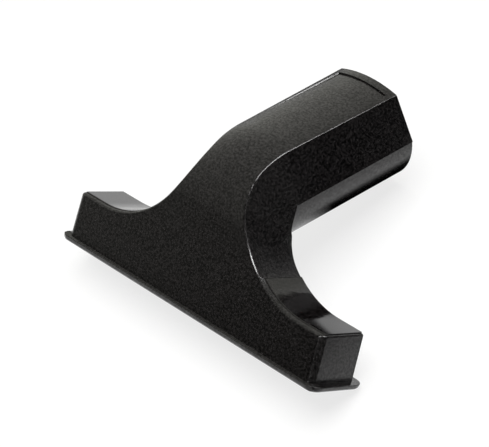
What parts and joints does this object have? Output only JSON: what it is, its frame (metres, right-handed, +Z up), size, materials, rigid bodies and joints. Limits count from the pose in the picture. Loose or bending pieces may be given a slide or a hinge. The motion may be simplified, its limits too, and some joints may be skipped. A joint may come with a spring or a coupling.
{
  "type": "vacuum upholstery nozzle",
  "caption": "Hollow moulded upholstery nozzle with a wide slot mouth, flanged rim, flared neck and an angled round socket that pushes on to a vacuum cleaner tube.",
  "frame": {"origin": "on the ground under the middle of the bounding box, with the nozzle lying as it comes to rest on its flange's back edge and the lowest rim of its tube", "axes": "+X along the mouth, +Y from the mouth towards the hose socket, +Z up"},
  "size_m": [0.1256, 0.0958, 0.0487],
  "materials": {
    "black_plastic": "semi-gloss black moulded plastic with a fine grain, polished on the shoulders' raised pads"
  },
  "bodies": {
    "root": {"nozzle_body": "black_plastic"}
  },
  "joints": []
}
